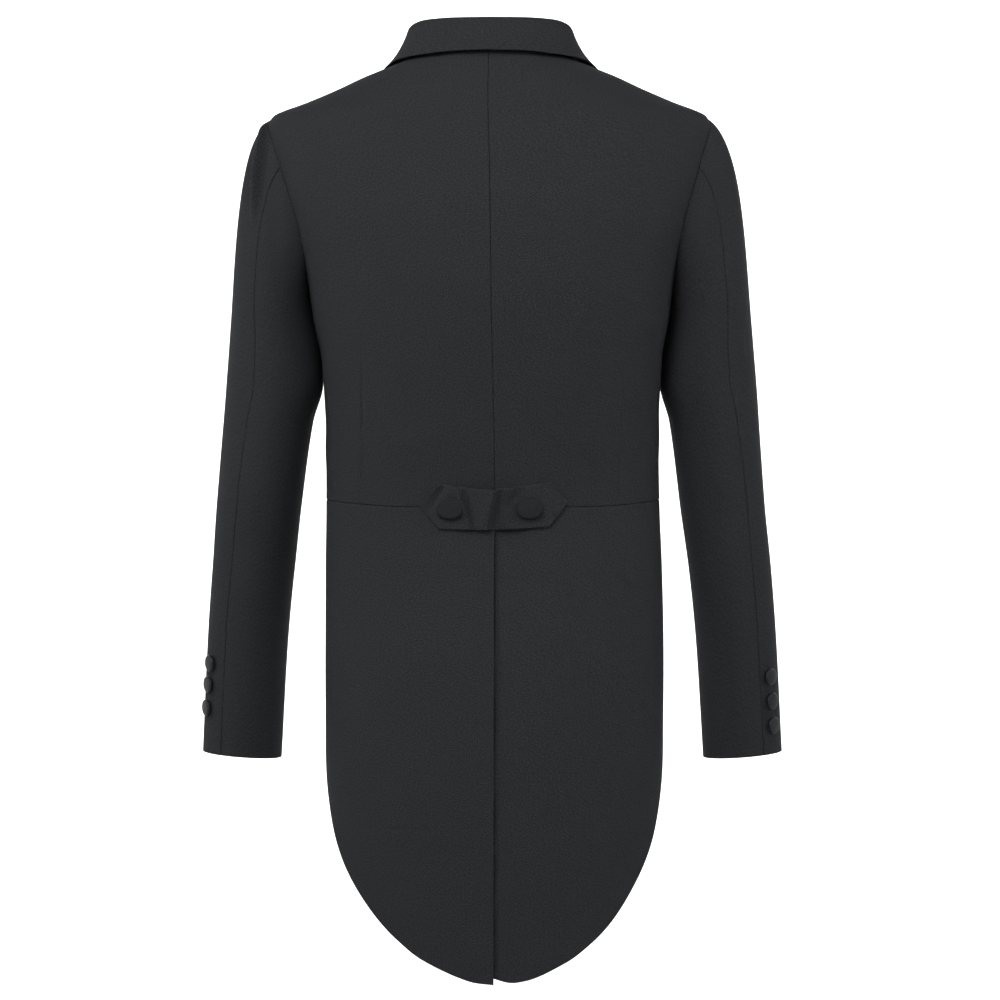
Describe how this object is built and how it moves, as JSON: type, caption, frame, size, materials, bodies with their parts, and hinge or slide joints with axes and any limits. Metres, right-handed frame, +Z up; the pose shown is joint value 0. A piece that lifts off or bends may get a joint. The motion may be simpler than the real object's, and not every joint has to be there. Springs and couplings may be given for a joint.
{
  "type": "tailcoat",
  "caption": "Black evening tailcoat, worn form with nobody in it: turned-down collar, peaked lapels, fitted waist, buttoned half belt behind, and two long rounded tails.",
  "frame": {"origin": "midway between the shoulders, level with the foot of the collar at the sides of the neck, where the wearer's shoulders carry the coat", "axes": "+Z up, -Y the way the wearer faces, +X the wearer's left"},
  "size_m": [0.5913, 0.2316, 0.9435],
  "materials": {
    "coat_cloth": "matt, fine wool twill",
    "tab_button_cloth": "matt, cloth-covered",
    "sleeve_button_cloth": "soft sheen, satin-covered"
  },
  "bodies": {
    "root": {"back_left": "coat_cloth", "back_right": "coat_cloth", "side_body_left": "coat_cloth", "side_body_right": "coat_cloth", "front_left": "coat_cloth", "front_right": "coat_cloth", "tail_left": "coat_cloth", "tail_right": "coat_cloth", "top_sleeve_left": "coat_cloth", "top_sleeve_right": "coat_cloth", "under_sleeve_left": "coat_cloth", "under_sleeve_right": "coat_cloth", "collar_stand": "coat_cloth", "collar_fall": "coat_cloth", "lapel_left": "coat_cloth", "lapel_right": "coat_cloth", "back_tab": "coat_cloth", "tab_button_left": "tab_button_cloth", "tab_button_right": "tab_button_cloth", "cuff_button_left_upper": "sleeve_button_cloth", "cuff_button_left_middle": "sleeve_button_cloth", "cuff_button_left_lower": "sleeve_button_cloth", "cuff_button_right_upper": "sleeve_button_cloth", "cuff_button_right_middle": "sleeve_button_cloth", "cuff_button_right_lower": "sleeve_button_cloth", "front_button": "tab_button_cloth"}
  },
  "joints": []
}
